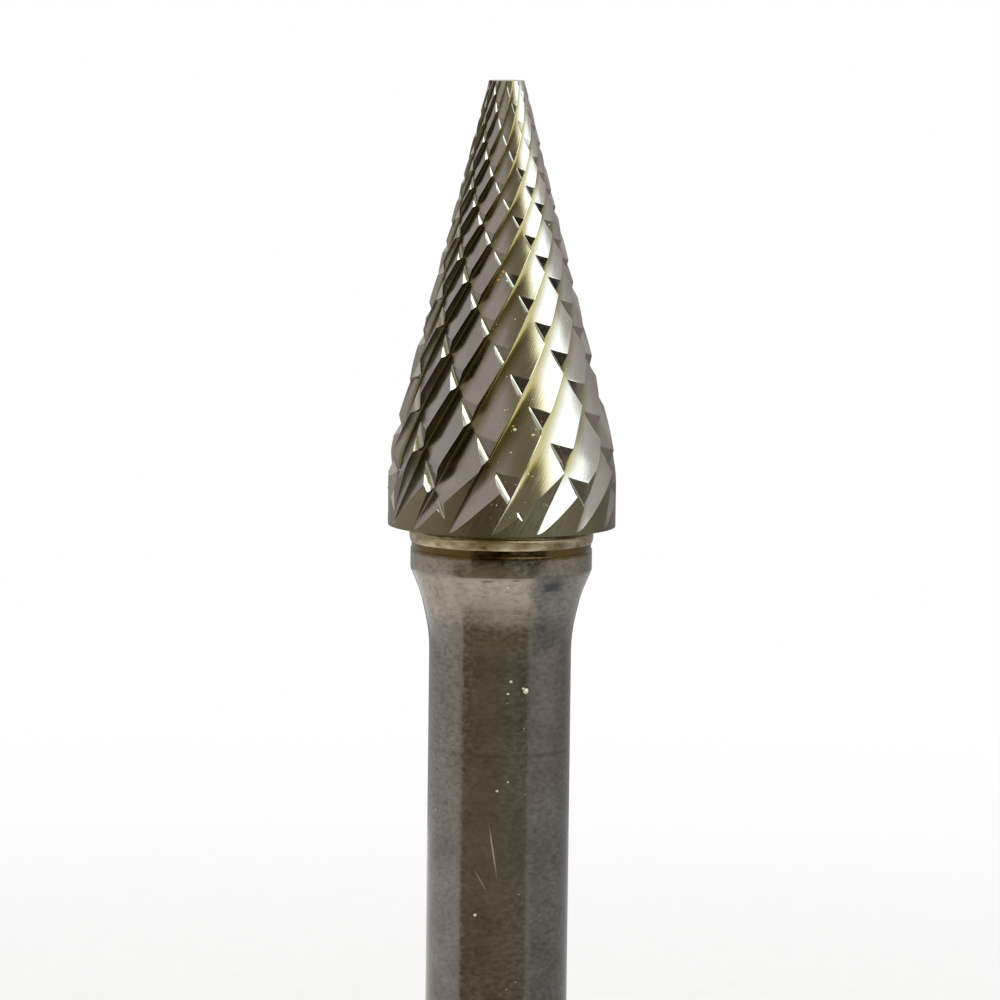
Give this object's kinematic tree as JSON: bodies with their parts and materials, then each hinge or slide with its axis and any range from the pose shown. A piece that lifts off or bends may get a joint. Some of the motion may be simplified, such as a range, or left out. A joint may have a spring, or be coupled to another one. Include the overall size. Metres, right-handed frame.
{
  "type": "carbide burr",
  "caption": "Tapered, flat-tipped carbide cutting head with crossed spiral teeth, brazed to a straight steel shank with a flared collar.",
  "frame": {"origin": "centre of the shank's flat end face, which the burr stands on", "axes": "+Z along the tool's axis from the shank end to the tip; the head's cutting edges rise to the right"},
  "size_m": [0.0096, 0.0096, 0.0647],
  "materials": {
    "shank": "satin turned and ground tool steel",
    "braze": "dull heat-tinted silver braze with flux stain",
    "carbide": "fine-ground tungsten carbide"
  },
  "bodies": {
    "root": {"shank": "shank", "braze_joint": "braze", "cutting_head": "carbide"}
  },
  "joints": []
}
